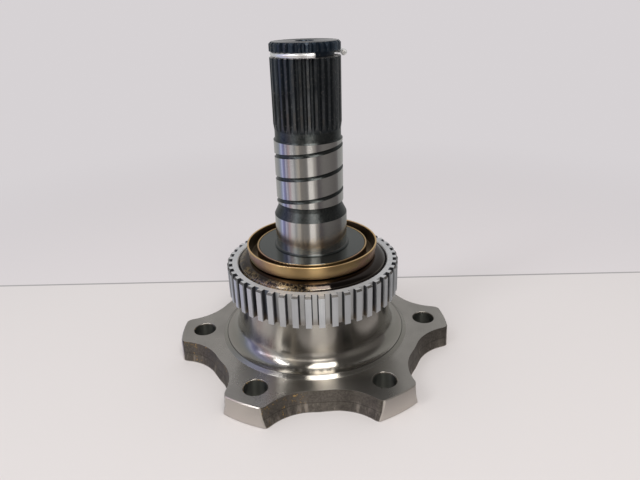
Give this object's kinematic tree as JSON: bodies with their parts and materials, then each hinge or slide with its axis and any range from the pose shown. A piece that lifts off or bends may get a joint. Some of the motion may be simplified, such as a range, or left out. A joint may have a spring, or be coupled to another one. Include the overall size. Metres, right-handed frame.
{
  "type": "axle stub shaft",
  "caption": "Flanged stub shaft with a splined end, ground journals, oil groove, toothed speed ring, dust deflector and a retaining ring.",
  "frame": {"origin": "centre of the flange's joint face, on the shaft's axis", "axes": "+Z along the shaft towards its splined end, +X through one bolt lobe"},
  "size_m": [0.14, 0.1306, 0.1537],
  "materials": {
    "forged_steel": "turned and ground steel with black heat treatment scale in the unground recesses",
    "zinc_plated_steel": "bright zinc plate",
    "yellow_zinc_sheet": "yellow chromate zinc plate",
    "spring_wire": "bright drawn wire"
  },
  "bodies": {
    "shaft": {"stub_shaft": "forged_steel", "speed_ring": "zinc_plated_steel", "dust_deflector": "yellow_zinc_sheet"},
    "retaining_ring": {"retaining_ring": "spring_wire"}
  },
  "joints": [
    {"name": "retaining_ring_turn", "type": "hinge", "parent": "shaft", "child": "retaining_ring", "pos_m": [0, 0, 0.1486], "axis": [0, 0, 1], "continuous": true}
  ]
}
